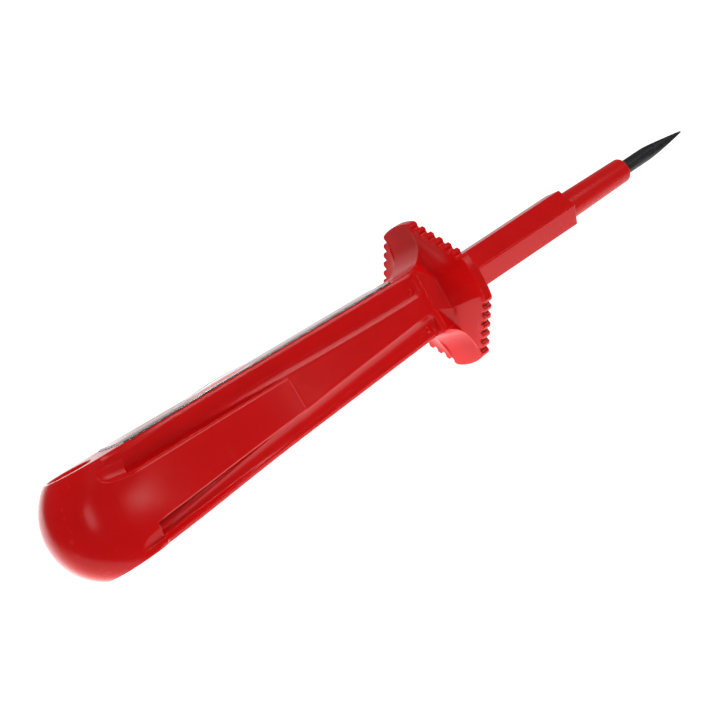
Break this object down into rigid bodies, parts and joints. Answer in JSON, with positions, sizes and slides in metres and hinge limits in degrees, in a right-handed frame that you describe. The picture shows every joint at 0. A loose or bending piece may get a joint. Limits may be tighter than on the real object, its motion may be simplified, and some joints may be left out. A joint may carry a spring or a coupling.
{
  "type": "voltage tester screwdriver",
  "caption": "Slim insulated screwdriver with a slotted blade, a toothed finger guard, and a clear window over the resistor and glow lamp in its handle.",
  "frame": {"origin": "bottom centre of the bounding box: under the middle of the tool's length, level with the lowest point of the guard", "axes": "+X along the tool to the blade's tip, +Z out of the window"},
  "size_m": [0.1932, 0.0352, 0.0352],
  "materials": {
    "red_plastic": "satin moulded",
    "sleeve_plastic": "satin extruded",
    "clear_plastic": "clear moulded",
    "black_rubber": "matt",
    "white_plastic": "matt moulded",
    "black_steel": "blackened and ground",
    "spring_steel": "bright drawn",
    "brass": "bright pressed",
    "nickel": "nickel plated",
    "resistor_lacquer": "lacquered",
    "lamp_glass": "clear"
  },
  "bodies": {
    "tester": {"handle_body": "red_plastic", "window_cover": "clear_plastic", "window_seal": "black_rubber", "blade_sleeve": "sleeve_plastic", "blade": "black_steel", "blade_lock_ring": "spring_steel", "component_cradle": "white_plastic", "front_spring": "spring_steel", "resistor_cap_front": "brass", "resistor_body": "resistor_lacquer", "resistor_cap_rear": "brass", "lamp_cap_front": "brass", "lamp_glass": "lamp_glass", "lamp_cap_rear": "brass", "lamp_electrode_front": "nickel", "lamp_electrode_rear": "nickel", "rear_spring": "spring_steel", "contact_strap": "brass", "button_spring": "spring_steel", "button_collar": "red_plastic"},
    "touch_contact": {"touch_button": "nickel"}
  },
  "joints": [
    {"name": "touch_press", "type": "slide", "parent": "tester", "child": "touch_contact", "axis": [0, 0, -1], "range_m": [0, 0.001], "stiffness_N_per_m": 500, "springref_m": -0.001, "deforming": ["button_spring"]}
  ]
}
